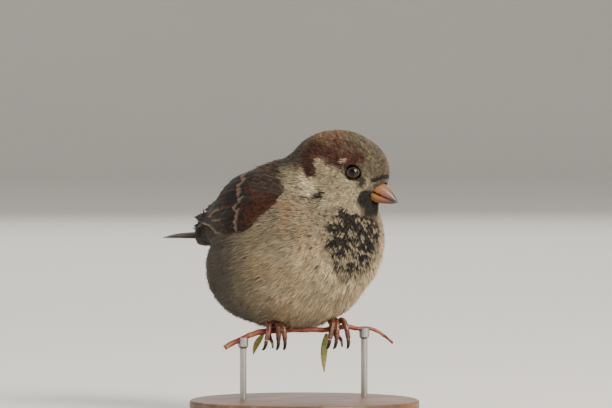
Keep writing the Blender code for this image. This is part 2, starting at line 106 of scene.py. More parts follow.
def ease(low, high, values):
    """A smooth step from zero at low to one at high."""
    part = np.clip((values - low) / (high - low), 0, 1)
    return part * part * (3 - 2 * part)


def linear(colour):
    """A screen colour of 0 to 255 as scene-linear values."""
    part = np.array(colour, float) / 255
    return np.where(part <= 0.04045, part / 12.92, ((part + 0.055) / 1.055) ** 2.4)


def blend(base, over, amount):
    """Rows of base mixed with over by amount."""
    amount = np.asarray(amount)[..., None]
    return base * (1 - amount) + over * amount


def near_line(points, line, radius, soft):
    """One inside radius of a chain of places, fading to zero over soft."""
    best = np.full(len(points), 1e9)
    line = np.array(line, float)
    if len(line) == 1:
        best = np.linalg.norm(points - line[0], axis=1)
    for start, end in zip(line[:-1], line[1:]):
        along = end - start
        part = np.clip((points - start) @ along / (along @ along), 0, 1)
        best = np.minimum(best, np.linalg.norm(points - start - part[:, None] * along, axis=1))
    return 1 - ease(radius - soft / 2, radius + soft / 2, best)


def wavy(points, size, seed):
    """Soft noise of about -1 to 1 whose lumps are size across."""
    shift = Vector((seed * 7.3, seed * 3.1, seed * 5.7))
    places = points / size
    return np.array([noise.noise(Vector(place) + shift) for place in places]) * 1.6


# ---- shader nodes

class Value:
    """A shader socket that takes arithmetic."""

    def __init__(self, tree, socket):
        self.tree = tree
        self.socket = socket

    def math(self, operation, left, right):
        maker = self.tree.nodes.new("ShaderNodeMath")
        maker.operation = operation
        feed(self.tree, left, maker.inputs[0])
        feed(self.tree, right, maker.inputs[1])
        return Value(self.tree, maker.outputs[0])

    def __add__(self, other):
        return self.math("ADD", self, other)

    def __radd__(self, other):
        return self.math("ADD", other, self)

    def __sub__(self, other):
        return self.math("SUBTRACT", self, other)

    def __rsub__(self, other):
        return self.math("SUBTRACT", other, self)

    def __mul__(self, other):
        return self.math("MULTIPLY", self, other)

    def __rmul__(self, other):
        return self.math("MULTIPLY", other, self)


def feed(tree, entry, socket):
    """Links a value into a socket, or sets the socket to a number or colour."""
    if isinstance(entry, Value):
        tree.links.new(entry.socket, socket)
    else:
        socket.default_value = entry


class Finish:
    """One material and the nodes that paint it."""

    def __init__(self, name, **constants):
        self.material = bpy.data.materials.new(name)
        self.material.use_nodes = True
        self.tree = self.material.node_tree
        self.shader = self.tree.nodes["Principled BSDF"]
        for socket, setting in constants.items():
            self.shader.inputs[socket.replace("_", " ")].default_value = setting

    def node(self, kind, output, settings, inputs):
        """One node: its settings first, then its sockets. Returns the named output."""
        made = self.tree.nodes.new("ShaderNode" + kind)
        for key, setting in settings.items():
            if key == "stops":
                self.set_stops(made.color_ramp, setting)
            else:
                setattr(made, key, setting)
        for key, entry in inputs.items():
            feed(self.tree, entry, made.inputs[key])
        return Value(self.tree, made.outputs[output])

    def set_stops(self, ramp, stops):
        while len(ramp.elements) < len(stops):
            ramp.elements.new(0.5)
        for element, (place, colour) in zip(ramp.elements, stops):
            element.position = place
            element.color = colour

    def coords(self):
        return self.node("TexCoord", "Object", {}, {})

    def noise(self, vector, scale, detail=2.0, rough=0.5):
        inputs = {"Vector": vector, "Scale": scale, "Detail": detail, "Roughness": rough}
        return self.node("TexNoise", "Fac", {}, inputs)

    def vector(self, operation, output, first, second):
        """Vector maths on two vectors."""
        return self.node("VectorMath", output, {"operation": operation}, {0: first, 1: second})

    def tone(self, colour, value):
        """A colour made lighter or darker by a value."""
        return self.mix(1.0, colour, self.grey(value), "MULTIPLY")

    def attribute(self, name, output="Color"):
        return self.node("Attribute", output, {"attribute_name": name}, {})

    def ramp(self, value, stops):
        return self.node("ValToRGB", "Color", {"stops": stops}, {"Fac": value})

    def shade(self, value, low, high):
        """A value between 0 and 1 stretched to run from low to high, as a grey."""
        inputs = {"Value": value, "To Min": low, "To Max": high}
        return self.node("MapRange", "Result", {}, inputs)

    def mix(self, factor, first, second, how="MIX"):
        """Two colours mixed by a factor."""
        made = self.tree.nodes.new("ShaderNodeMix")
        made.data_type = "RGBA"
        made.blend_type = how
        feed(self.tree, factor, made.inputs[0])
        feed(self.tree, first, made.inputs[6])
        feed(self.tree, second, made.inputs[7])
        return Value(self.tree, made.outputs[2])

    def grey(self, value):
        """A value as a colour of that brightness."""
        return self.node("CombineXYZ", "Vector", {}, {"X": value, "Y": value, "Z": value})

    def bump(self, height, strength, distance):
        inputs = {"Height": height, "Strength": strength, "Distance": distance}
        feed(self.tree, self.node("Bump", "Normal", {}, inputs), self.shader.inputs["Normal"])

    def put(self, socket, entry):
        feed(self.tree, entry, self.shader.inputs[socket])


def rgba(colour):
    """A 0 to 255 screen colour as four linear numbers for a socket."""
    return (*linear(colour), 1.0)


# ---- plumage colours

GREY_BUFF = linear((136, 124, 102))
WARM_BUFF = linear((148, 126, 96))
PALE_BUFF = linear((190, 174, 142))
CREAM = linear((216, 202, 168))
# The flank's grey, darkened further as painted shade.
FLANK_GREY_AND_SHADE = linear((66, 62, 57))
CHEST_BLACK = linear((26, 22, 18))
CHESTNUT = linear((68, 40, 29))
DARK_CHESTNUT = linear((58, 34, 26))
CROWN_OLIVE = linear((96, 86, 68))
CROWN_MOTTLE = linear((106, 80, 56))
NAPE_GREY = linear((74, 68, 60))
CHEEK_BUFF = linear((150, 138, 112))
MANTLE_BROWN = linear((72, 54, 40))
RUMP_GREY = linear((76, 65, 52))

# Lines of markings in the head's axes, on either side alike.
BROW_BAND = ((11.5, 8.2, 5.6), (7, 12, 6.2), (3, 12.8, 7.6), (-1, 12.4, 9), (-4.6, 10.8, 10.6),
             (-6.6, 11.4, 8.4), (-5.4, 13, 4.6), (-5, 13.8, 1.2))
BROW_TOP = ((12, 7.2, 8.4), (8, 9, 10.6), (4, 9.6, 12))
LORES = ((11.2, 9.8, -0.4), (13.4, 8.4, -2.2), (12.9, 8.9, -3.6))
BILL_EDGE = ((16, 6, -2.2), (18.4, 3, -1.2), (19, 0, -1))
EYE_SPOTS = ((7.2, 12.2, 5), (8.6, 11.8, 5))
BELOW_EYE = ((6.6, 12.2, -1), (9.4, 11.2, -2))
EYE_STREAK = ((9, 11.4, 3.4), (5, 12.8, 4), (2, 13.6, 4.2))
CHEEK = ((8, 11.6, -4.6), (3, 14, -3), (-2, 14.2, -1.4), (0, 13.8, 1.4))
CREAM_PATCH = ((-6.4, 13.8, -0.4), (-5.4, 14.6, -3.4))
NECK_BLACK = ((0.6, 15.8, -6.6), (-3, 16.4, -7.9), (-8, 17.4, -8.6))
CHIN = ((13, 5.6, -8.4), (12.6, 0, -10.4), (13.4, 1.5, -13))
# The rest of the body is in the row's frame, in millimetres.
BIB_CENTRE = np.array((30, 0, 65))
BIB_RADII = np.array((16, 12.8, 14.6))


def bib_amount(points):
    """How far a place belongs to the black bib, from zero to one."""
    away = (points / MM - BIB_CENTRE) / BIB_RADII
    ragged = wavy(points, 3.2 * MM, 3) * 0.1
    return 1 - ease(0.88, 1.08, np.linalg.norm(away, axis=1) + ragged)


def head_colour(points):
    """The ground colour of the head's feathers."""
    place = in_head(points)
    place[:, 1] = np.abs(place[:, 1])
    speckle = wavy(points, 1.1 * MM, 1)
    back = ease(9, 3, place[:, 0])
    colour = blend(np.tile(CROWN_OLIVE, (len(points), 1)), CROWN_MOTTLE, back)
    colour = blend(colour, NAPE_GREY, ease(-5, -11, place[:, 0]) * ease(1, 6, place[:, 2]))
    below = ease(3, -1, place[:, 2] + 0.15 * place[:, 0]) * ease(4, 8, place[:, 1])
    colour = blend(colour, CHEEK_BUFF, below)
    colour = blend(colour, CHEEK_BUFF, near_line(place, CHEEK, 5.4, 2))
    colour = blend(colour, CREAM, near_line(place, CREAM_PATCH, 3.1, 2.8))
    band = near_line(place, BROW_BAND, 2.7, 1.4)
    top = near_line(place, BROW_TOP, 2.6, 2.4) * ease(-0.5, 0.4, speckle)
    colour = blend(colour, CHESTNUT, np.maximum(band, top))
    colour = blend(colour, DARK_CHESTNUT, near_line(place, EYE_STREAK, 0.9, 0.8))
    colour = blend(colour, CREAM, near_line(place, EYE_SPOTS, 0.35, 0.8) * 0.45)
    colour = blend(colour, CREAM, near_line(place, BELOW_EYE, 0.4, 0.8) * 0.6)
    colour = blend(colour, CHEST_BLACK * 1.6, near_line(place, LORES, 1.3, 1.4) * 0.9)
    colour = blend(colour, CHEST_BLACK, near_line(place, BILL_EDGE, 0.8, 0.8))
    colour = blend(colour, CHEST_BLACK, near_line(place, CHIN, 3.3, 1.6))
    streaks = ease(-0.45, 0.2, wavy(points * (0.6, 0.6, 1.5), 1.2 * MM, 15))
    colour = blend(colour, CHEST_BLACK * 1.4, near_line(place, NECK_BLACK, 1.7, 1.6) * streaks)
    fine = wavy(points, 0.55 * MM, 2) * ease(1, 5, place[:, 2])
    return colour * np.clip(1 + 0.25 * speckle + 0.6 * fine, 0.25, 1.7)[:, None]


def body_colour(points):
    """The ground colour of the trunk's feathers, with the grey flank and painted shade towards the
    rear.
    """
    place = points / MM
    place[:, 1] = np.abs(place[:, 1])
    patches = wavy(points, 9 * MM, 5)
    warm = ease(-0.2, 0.7, patches) * ease(-4, 12, place[:, 0])
    colour = blend(np.tile(GREY_BUFF, (len(points), 1)), WARM_BUFF, warm)
    front = ease(2, 16, place[:, 0]) * ease(70, 54, place[:, 2])
    colour = blend(colour, PALE_BUFF, 0.6 * front)
    # Darker grey towards the rear: the flank's own grey plus painted shade on the side away from
    # the key lamp.
    rear_grey_and_shade = ease(6, -14, place[:, 0])
    colour = blend(colour, FLANK_GREY_AND_SHADE, 0.85 * rear_grey_and_shade)
    nape = ease(84, 92, place[:, 2] - 0.9 * (place[:, 0] - 6))
    colour = blend(colour, NAPE_GREY * 0.8, nape)
    mantle = ease(78, 84, place[:, 2] - 0.32 * (place[:, 0] + 10)) * ease(8, 0, place[:, 0])
    colour = blend(colour, MANTLE_BROWN, mantle)
    tail_side = ease(-30, -38, place[:, 0]) * ease(62, 67, place[:, 2])
    colour = blend(colour, RUMP_GREY, tail_side)
    mottle = wavy(points, 3.4 * MM, 12) * 0.16 + wavy(points, 1.3 * MM, 13) * 0.14
    return colour * np.clip(1 + mottle, 0.4, 1.6)[:, None]


def plumage(points):
    """The ground colour of the feathers anywhere on the bird."""
    place = in_head(points)
    on_head = ease(20.5, 17.5, np.linalg.norm(place * (0.9, 1, 0.95), axis=1))
    return blend(body_colour(points), head_colour(points), on_head)


# ---- the bird's outline

class Outline:
    """The closed outside of the bird, with the solid that each face belongs to."""

    def __init__(self):
        self.piece = closed_copy("bird_outline", FLESH + WINGS, 0.75 * MM, 3)
        mesh = self.piece.data
        self.points = mesh_points(mesh)
        mesh.calc_loop_triangles()
        self.faces = np.empty(len(mesh.loop_triangles) * 3, int)
        mesh.loop_triangles.foreach_get("vertices", self.faces)
        self.faces = self.faces.reshape(-1, 3)
        self.tree = BVHTree.FromPolygons(self.points.tolist(), self.faces.tolist())
        corners = self.points[self.faces]
        self.centres = corners.mean(axis=1)
        crosses = np.cross(corners[:, 1] - corners[:, 0], corners[:, 2] - corners[:, 0])
        self.areas = np.linalg.norm(crosses, axis=1) / 2
        self.owner = owners(self.centres, FLESH + WINGS)[0]
        self.off_flesh = owners(self.centres, FLESH)[1]

    def nearest(self, points):
        """The closest places on the outline, and the outward directions there."""
        return nearest_on(self.tree, points)

    def scatter(self, wanted, spacing, random):
        """Places spread over the wanted faces, about spacing apart."""
        chosen = np.nonzero(wanted)[0]
        weight = self.areas[chosen] / self.areas[chosen].sum()
        count = int(5 * self.areas[chosen].sum() / spacing ** 2)
        picked = random.choice(chosen, count, p=weight)
        split = np.sqrt(random.random((count, 1)))
        other = random.random((count, 1))
        corners = self.points[self.faces[picked]]
        points = (corners[:, 0] * (1 - split) + corners[:, 1] * split * (1 - other)
                  + corners[:, 2] * split * other)
        cells = np.floor(points / spacing).astype(int)
        _, first = np.unique(cells, axis=0, return_index=True)
        return points[first]


def nearest_on(tree, points):
    """The closest places on a surface, and the outward directions there."""
    places = np.empty((len(points), 3))
    outward = np.empty((len(points), 3))
    for row, point in enumerate(points):
        place, normal, _, _ = tree.find_nearest(Vector(point))
        places[row] = place
        outward[row] = normal
    return places, outward


def closed_copy(name, node_names, pitch, smoothing):
    """One closed surface round copies of several solids."""
    shell = bmesh.new()
    for node_name in node_names:
        shell.from_mesh(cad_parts[node_name].data)
    bmesh.ops.remove_doubles(shell, verts=shell.verts, dist=0.002 * MM)
    piece = piece_of(name, shell)
    remesh = piece.modifiers.new("Close", "REMESH")
    remesh.mode = "VOXEL"
    remesh.voxel_size = pitch
    soften = piece.modifiers.new("Soften", "SMOOTH")
    soften.factor = 0.5
    soften.iterations = smoothing
    apply_modifiers(piece)
    keep_largest(piece)
    return piece


def keep_largest(piece):
    """Drops every loose shell but the one with the most points."""
    shell = bmesh.new()
    shell.from_mesh(piece.data)
    seen = set()
    islands = []
    for start in shell.verts:
        if start in seen:
            continue
        island = [start]
        seen.add(start)
        for vert in island:
            for edge in vert.link_edges:
                other = edge.other_vert(vert)
                if other not in seen:
                    seen.add(other)
                    island.append(other)
        islands.append(island)
    largest = max(islands, key=len)
    spare = [vert for island in islands if island is not largest for vert in island]
    bmesh.ops.delete(shell, geom=spare, context="VERTS")
    shell.to_mesh(piece.data)
    shell.free()


def owners(points, node_names):
    """The solid that is nearest to each point, and how far off it is."""
    verts = []
    faces = []
    names = []
    for node_name in node_names:
        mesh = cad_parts[node_name].data
        start = len(verts)
        verts += [vert.co[:] for vert in mesh.vertices]
        faces += [[start + index for index in face.vertices] for face in mesh.polygons]
        names += [node_name] * len(mesh.polygons)
    tree = BVHTree.FromPolygons(verts, faces)
    found = [tree.find_nearest(Vector(point)) for point in points]
    return np.array([names[hit[2]] for hit in found]), np.array([hit[3] for hit in found])


# ---- pieces

def piece_of(name, shell):
    """A mesh object made from a bmesh, at the origin."""
    mesh = bpy.data.meshes.new(name)
    shell.to_mesh(mesh)
    shell.free()
    return linked(mesh)


def apply_modifiers(piece):
    """Puts the result of the modifiers in the mesh."""
    graph = bpy.context.evaluated_depsgraph_get()
    mesh = bpy.data.meshes.new_from_object(piece.evaluated_get(graph))
    piece.modifiers.clear()
    old = piece.data
    piece.data = mesh
    bpy.data.meshes.remove(old)


def finish_piece(piece, material, slot, *replaced):
    """Dresses a piece, sets it riding, and hides the solids it stands for."""
    piece.data.materials.clear()
    piece.data.materials.append(material)
    smooth = np.ones(len(piece.data.polygons), bool)
    piece.data.polygons.foreach_set("use_smooth", smooth)
    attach(piece, "root")
    if replaced:
        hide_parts(*replaced)


def mesh_points(mesh):
    """The places of a mesh's points, one row each."""
    points = np.empty(len(mesh.vertices) * 3)
    mesh.vertices.foreach_get("co", points)
    return points.reshape(-1, 3)


def mesh_from(name, points, corners, sides):
    """A mesh whose faces all have the same number of sides."""
    mesh = bpy.data.meshes.new(name)
    mesh.vertices.add(points.size // 3)
    mesh.vertices.foreach_set("co", points.ravel())
    mesh.loops.add(len(corners))
    mesh.loops.foreach_set("vertex_index", corners)
    mesh.polygons.add(len(corners) // sides)
    mesh.polygons.foreach_set("loop_start", np.arange(0, len(corners), sides))
    mesh.update(calc_edges=True)
    return mesh


def bake_map(mesh, places):
    """The bake map, from a place for each corner."""
    layer = mesh.uv_layers.new(name="OFBake")
    layer.data.foreach_set("uv", places.astype(np.float32).ravel())


def linked(mesh):
    """A mesh's object, in the scene."""
    piece = bpy.data.objects.new(mesh.name, mesh)
    bpy.context.scene.collection.objects.link(piece)
    return piece


def paint_points(mesh, name, colours):
    """Stores a colour for each point."""
    layer = mesh.attributes.new(name, "FLOAT_COLOR", "POINT")
    whole = np.ones((len(colours), 4))
    whole[:, :3] = colours
    layer.data.foreach_set("color", whole.ravel())


def plume_finish(name, sheen):
    """Feather: the piece's tint broken by fine grain."""
    finish = Finish(name, Roughness=0.72, Specular_IOR_Level=0.22, Sheen_Weight=sheen,
                    Sheen_Roughness=0.5)
    where = finish.coords()
    grain = finish.shade(finish.noise(where, 900.0, 3.0), 0.78, 1.22)
    patches = finish.shade(finish.noise(where, 210.0, 2.0), 0.86, 1.14)
    tint = finish.tone(finish.attribute("tint"), grain * patches)
    finish.put("Base Color", tint)
    finish.bump(finish.noise(where, 2200.0, 2.0), 0.35, 0.00015)
    return finish.material


# ---- skin

def coat_depth(points):
    """How deep the skin lies under the feather tips, in metres."""
    place = in_head(points)
    from_bill = np.linalg.norm(place - BILL_ROOT, axis=1)
    face = 0.35 + 1.5 * ease(3, 22, from_bill)
    neck = ease(22, 38, from_bill)
    return (face + 1.5 * neck) * MM


def make_skin():
    """The bare body under the plumage."""
    piece = closed_copy("skin", FLESH, 0.8 * MM, 4)
    points = mesh_points(piece.data)
    displace(piece, lambda places: -coat_depth(places))
    # The skin carries the plumage's markings, darkened as painted shade under the feathers.
    paint_points(piece.data, "tint", plumage(points) * SKIN_PAINTED_SHADE)
    return piece


# ---- feathers

def flow(points, outward):
    """The way the feathers lie at each place."""
    source = head_point(*BILL_ROOT)
    away = unit(points - source)
    back = unit(TAIL_ROOT - points)
    heading = away + 0.75 * back
    heading[:, 2] -= 0.1
    heading -= (heading * outward).sum(axis=1, keepdims=True) * outward
    return unit(heading)


def grow(name, outline, roots, length, width, depth, barbs, random, look):
    """Joined feathers, each a fan of thin barbs that lies back over the next."""
    count = len(roots)
    start, outward = outline.nearest(roots)
    heading = flow(start, outward)
    sideways = np.cross(heading, outward)
    turn = random.normal(0, look["scatter"], (count, 1))
    heading = unit(heading + sideways * turn)
    length = length * random.uniform(0.8, 1.2, count)
    path = [start]
    normals = [outward]
    for _ in range(3):
        ahead = path[-1] + heading * (length / 3)[:, None]
        place, outward = outline.nearest(ahead)
        heading = unit(heading - (heading * outward).sum(axis=1, keepdims=True) * outward)
        path.append(place)
        normals.append(outward)
    path = np.stack(path, axis=1)
    normals = np.stack(normals, axis=1)
    normals = unit(normals + normals.mean(1, keepdims=True))
    return fan(name, path, normals, width, depth, barbs, random, look)


def fan(name, path, normals, width, depth, barbs, random, look):
    """The barbs of every feather, as one mesh of narrow ribbons."""
    count = len(path)
    spread = np.linspace(-1, 1, barbs)[None, :] + random.normal(0, 0.12, (count, barbs))
    ragged = 1 - look["ragged"] * random.random((count, barbs))
    reach = (1 - look["round"] * spread ** 2) * ragged
    stations = np.array((0.0, 0.45, 0.8, 1.0))
    part = np.clip(reach[:, :, None] * stations, 0, 0.9999)
    step = part * 3
    low = np.floor(step).astype(int)
    share = (step - low)[..., None]
    row = np.arange(count)[:, None, None]
    place = path[row, low] * (1 - share) + path[row, low + 1] * share
    outward = unit(normals[row, low] * (1 - share) + normals[row, low + 1] * share)
    heading = unit(path[:, 1:] - path[:, :3])[row, low]
    sideways = np.cross(heading, outward)
    fanned = spread[:, :, None] * (0.2 + 0.8 * part ** 0.8) * width[:, None, None]
    curl = random.normal(0, 0.1, (count, barbs, 1)) * width[:, None, None] * part
    place = place + sideways * (fanned + curl)[..., None]
    lift = random.normal(0, look["lift"], (count, 1, 1))
    lift = lift + random.normal(0, look["lift"], (count, barbs, 1))
    height = -depth[:, None, None] * (1 - part) ** 1.3 - look["inset"]
    height = height + (lift + look["droop"][:, None, None]) * part ** 2
    place = place + outward * height[..., None]
    roll = random.normal(0, look["roll"], (count, barbs, 1, 1))
    ribbon = sideways * np.cos(roll) + outward * np.sin(roll)
    half = look["barb"] / 2 * np.array((0.7, 1.0, 0.75))[None, None, :, None]
    half = half * random.uniform(0.75, 1.25, (count, barbs, 1, 1))
    left = place[:, :, :3] - ribbon[:, :, :3] * half
    right = place[:, :, :3] + ribbon[:, :, :3] * half
    points = np.empty((count, barbs, RIBBON_POINTS, 3))
    points[:, :, 0:6:2] = left
    points[:, :, 1:6:2] = right
    points[:, :, 6] = place[:, :, 3]
    along = np.empty((count, barbs, RIBBON_POINTS))
    along[:, :, :6] = np.repeat(part[:, :, :3], 2, axis=2)
    along[:, :, 6] = part[:, :, 3]
    across = np.repeat(spread[:, :, None], RIBBON_POINTS, axis=2)
    return ribbons(name, points, along, across, path[:, 1], random, look)


def ribbons(name, points, along, across, roots, random, look):
    """A mesh of seven-point ribbons, with its tints and its bake patches."""
    count, barbs = points.shape[:2]
    corners = (np.arange(count * barbs)[:, None] * RIBBON_POINTS + RIBBON).ravel()
    mesh = mesh_from(name, points, corners, 3)
    colours = look["colour"](roots, along, across, random)
    paint_points(mesh, "tint", np.broadcast_to(colours, points.shape).reshape(-1, 3))
    away = roots - look["centre"]
    turn = np.arctan2(away[:, 1], away[:, 0])
    rise = np.arctan2(away[:, 2], np.hypot(away[:, 0], away[:, 1]))
    sheet = np.stack((turn, rise), axis=1)
    sheet = (sheet - sheet.min(axis=0)) / (np.ptp(sheet, axis=0) + 1e-9) * 0.99 + PATCH
    patch = np.stack((across * 0.5 + 0.5, along), axis=-1) * PATCH
    bake_map(mesh, (sheet[:, None, None, :] + patch).reshape(-1, 2)[corners])
    return linked(mesh)


def plain_tint(strength):
    """Ground colour at the root's place, darker at the root for the dark grey down and painted
    shade between the feathers, varied by feather and barb.
    """

    def tint(roots, along, across, random):
        count, barbs = along.shape[:2]
        ground = plumage(roots)[:, None, None, :]
        feather = random.normal(1, strength, (count, 1, 1, 1))
        barb = random.normal(1, 0.1, (count, barbs, 1, 1))
        # Darker towards the root: the dark grey down at the feather's base plus painted shade
        # where the feathers overlap.
        root = 0.5 + 0.5 * ease(0.1, 0.6, along)[..., None]
        return np.clip(ground * feather * barb * root, 0.002, 0.9)

    return tint


def bib_tint(roots, along, across, random):
    """Black feathers with pale fringes, fading to plain ones round the bib."""
    count, barbs = along.shape[:2]
    plain = plain_tint(0.12)(roots, along, across, random)
    inside = bib_amount(roots)
    high = ease(60, 74, roots[:, 2] / MM) * 0.25
    spots = ease(-0.3, 0.25, wavy(roots * (1, 1, 0.7), 1.15 * MM, 8) + high)[:, None, None]
    fringe = 0.3 + 0.55 * spots + 0.1 * random.random((count, 1, 1))
    tip = ease(fringe, fringe + 0.16, along + 0.12 * across ** 2)
    pale = blend(np.broadcast_to(GREY_BUFF, (*along.shape, 3)), CHEST_BLACK, 1 - tip)
    pale = pale * random.normal(1, 0.12, (count, barbs, 1, 1))
    return plain * (1 - inside[:, None, None, None]) + pale * inside[:, None, None, None]


def mantle_tint(roots, along, across, random):
    """Brown feathers with a black heart down the middle."""
    plain = plain_tint(0.16)(roots, along, across, random)
    count = len(roots)
    dark = (random.random((count, 1, 1)) < 0.6) * ease(0.75, 0.35, np.abs(across))
    return blend(plain, linear((34, 28, 24)), dark * 0.85 * np.ones(along.shape))


# Spacing in mm, barbs in a feather, barb width in mm, half width over length, tint, slot.
COATS = {
    "coat_face": (0.50, 5, 0.20, 0.30, plain_tint(0.17), "feathers_head"),
    "coat_crown": (0.66, 6, 0.24, 0.30, plain_tint(0.22), "feathers_head"),
    "coat_neck": (0.86, 8, 0.27, 0.30, bib_tint, "feathers_head"),
    "coat_bib": (0.95, 9, 0.30, 0.30, bib_tint, "feathers_breast"),
    "coat_breast": (0.98, 9, 0.27, 0.28, plain_tint(0.09), "feathers_breast"),
    "coat_belly": (0.98, 9, 0.27, 0.28, plain_tint(0.10), "feathers_belly"),
    "coat_back": (1.0, 9, 0.32, 0.30, mantle_tint, "feathers_back"),
    "coat_rump": (1.0, 9, 0.30, 0.30, plain_tint(0.10), "feathers_belly"),
}


def coat_regions(outline):
    """Which faces of the outline each coat grows on."""
    owner = outline.owner
    centres = outline.centres
    from_bill = np.linalg.norm(in_head(centres) - BILL_ROOT, axis=1)
    clear = from_bill > 2.6
    for side in (1, -1):
        eye = head_point(EYE_PLACE[0], side * EYE_PLACE[1], EYE_PLACE[2])
        clear &= np.linalg.norm(centres - eye, axis=1) > 2.5 * MM
    face = (owner == "head") & (from_bill < 15)
    overlap = np.char.startswith(owner, "wing") & (outline.off_flesh < 3.6 * MM)
    overlap &= (centres[:, 0] > -16 * MM) & (centres[:, 2] < 84 * MM)
    front = (owner == "neck") | (owner == "breast")
    bib = front & (bib_amount(centres) > 0.02)
    regions = {
        "coat_face": face,
        "coat_crown": (owner == "head") & ~face,
        "coat_neck": (owner == "neck") & ~bib,
        "coat_bib": bib,
        "coat_breast": ((owner == "breast") & ~bib) | overlap,
        "coat_belly": owner == "belly",
        "coat_back": owner == "back",
        "coat_rump": owner == "rump",
    }
    return {name: wanted & clear for name, wanted in regions.items()}


def feather_length(points):
    """The length of the feathers at each place, in metres."""
    from_bill = np.linalg.norm(in_head(points) - BILL_ROOT, axis=1)
    length = 0.9 + 3.1 * ease(1, 20, from_bill) + 4.4 * ease(20, 44, from_bill)
    return length * MM


def make_coats(outline, settings):
    """Every coat piece, region by region."""
    regions = coat_regions(outline)
    for index, (name, numbers) in enumerate(COATS.items()):
        spacing, barbs, barb, slim, rule, slot = numbers
        random = np.random.default_rng(20 + index)
        roots = outline.scatter(regions[name], spacing * MM * settings.spacing, random)
        most = int(MOST_TRIANGLES / (barbs * RIBBON_FACES))
        if len(roots) > most:
            roots = roots[random.permutation(len(roots))[:most]]
        length = feather_length(roots)
        hem = ease(36.5, 33.5, roots[:, 2] / MM) * ease(-14, -2, roots[:, 0] / MM)
        length = length * (1 + 0.35 * hem)
        look = {
            "scatter": 0.22, "round": 0.3, "ragged": 0.4, "lift": 0.26 * MM, "roll": 0.45,
            "droop": 1.7 * MM * hem * random.random(len(roots)), "inset": 0.1 * MM,
            "barb": barb * MM, "colour": rule, "centre": TRUNK_CENTRE,
        }
        if name in ("coat_face", "coat_crown"):
            look["centre"] = HEAD_CENTRE
            look["lift"] = 0.07 * MM
        piece = grow(name, outline, roots, length, length * slim, coat_depth(roots), barbs,
                     random, look)
        finish_piece(piece, plume_finish(name, 0.12), slot)


# ---- wings and tail

# The folded wing's upper and lower edges, from the shoulder to the tip, in millimetres.
WING_TOP = ((14, -20, 86), (-8, -14.5, 90.2), (-28, -8.5, 85.4), (-43, -5.6, 77.4),
            (-58, -3.4, 70.4))
WING_LOW = ((12, -24, 78), (1, -28.6, 68), (-14, -27.6, 65), (-33, -16.5, 65.6),
            (-58, -5.2, 69.2))
DARK_FEATHER = linear((36, 30, 27))
FEATHER_EDGE = linear((150, 120, 90))
COVERT_CHESTNUT = linear((78, 47, 34))
WING_BAR = linear((132, 108, 90))
TAIL_BROWN = linear((46, 38, 32))


def wing_layout():
    """Every feather of a folded wing, the lowest laid first.

    A row has the kind, the root and the tip as shares of the wing's length and depth,
    the width, and the height over the wing, in millimetres.
    """
    rows = []

    def add(kind, start, end, down, width, height, end_down=None):
        tip = (end, down if end_down is None else end_down)
        rows.append((kind, (start, down), tip, width, height))

    for step in range(7):
        down = 0.97 - 0.065 * step
        add("flight", 0.42, 0.84 + 0.027 * step, down, 3.2, 0.1 + 0.1 * step, 0.97 - 0.06 * step)
    for step in range(6):
        add("flight", 0.34, 0.70 + 0.02 * step, 0.93 - 0.075 * step, 3.6, 0.5 + 0.09 * step)
    for step in range(4):
        down = 0.5 - 0.13 * step
        add("tertial", 0.34, 0.78 + 0.03 * step, down, 6.2, 0.95 + 0.13 * step, down * 0.9 + 0.02)
    for step in range(12):
        end = 0.50 + 0.04 * math.sin(step)
        add("greater", 0.24, end, 0.98 - 0.085 * step, 4.0, 1.25 + 0.03 * step)
    for step in range(12):
        end = 0.345 + 0.012 * math.sin(2 * step)
        add("median", 0.17, end, 0.97 - 0.085 * step, 3.8, 1.6 + 0.02 * step)
    for line in range(5):
        along = 0.24 - 0.046 * line
        for step in range(15):
            down = 0.97 - 0.067 * step + 0.03 * (line % 2)
            kind = "scapular" if down < 0.34 else "lesser"
            add(kind, along - 0.04, along + 0.055, down, 2.6, 1.75 + 0.14 * line)
    return rows


def node_tree(node):
    """The faces of one solid, to look up places on it."""
    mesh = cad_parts[node].data
    return BVHTree.FromPolygons([vert.co[:] for vert in mesh.vertices],
                                [face.vertices[:] for face in mesh.polygons])


def on_wing(tree, along, down, side):
    """Places on the outside of a folded wing, by shares of its length and depth."""
    share = np.linspace(0, 1, len(WING_TOP))
    top = np.stack([np.interp(along, share, column) for column in np.array(WING_TOP).T], axis=-1)
    low = np.stack([np.interp(along, share, column) for column in np.array(WING_LOW).T], axis=-1)
    place = top * (1 - down[:, None]) + low * down[:, None]
    place = place + (0, -4.5, 1.6)
    place[:, 1] *= side
    return nearest_on(tree, place * MM)


def vane_tint(kind, along, across, random):
    """A feather's tints: a dark heart, coloured edges and a pale or plain tip."""
    edge = ease(0.5, 0.9, np.abs(across) + 0.5 * ease(0.8, 1.0, along))
    tone = random.normal(1, 0.1)
    shape = (*along.shape, 3)
    if kind == "lesser":
        ground = np.broadcast_to(COVERT_CHESTNUT, shape) * random.normal(1, 0.22)
        heart = ease(0.85, 0.25, np.abs(across)) * ease(1.0, 0.72, along)
        return blend(ground, COVERT_CHESTNUT * 0.22, heart * 0.85)
    if kind == "scapular":
        heart = ease(0.8, 0.4, np.abs(across)) * ease(1.0, 0.8, along)
        ground = np.broadcast_to(MANTLE_BROWN * 1.3, shape) * tone
        return blend(ground, DARK_FEATHER * 0.8, heart * 0.9)
    ground = np.broadcast_to(DARK_FEATHER, shape) * tone
    if kind == "median":
        return blend(ground, WING_BAR, ease(0.78, 0.92, along))
    if kind == "greater":
        return blend(ground, COVERT_CHESTNUT * 1.25, edge)
    if kind == "tertial":
        return blend(ground, FEATHER_EDGE * 0.8, ease(0.55, 0.9, np.abs(across)))
    if kind == "tail":
        ground = np.broadcast_to(TAIL_BROWN, shape) * tone
        return blend(ground, FEATHER_EDGE * 0.4, ease(0.85, 1, np.abs(across)))
    return blend(ground, FEATHER_EDGE, ease(0.72, 0.95, across))


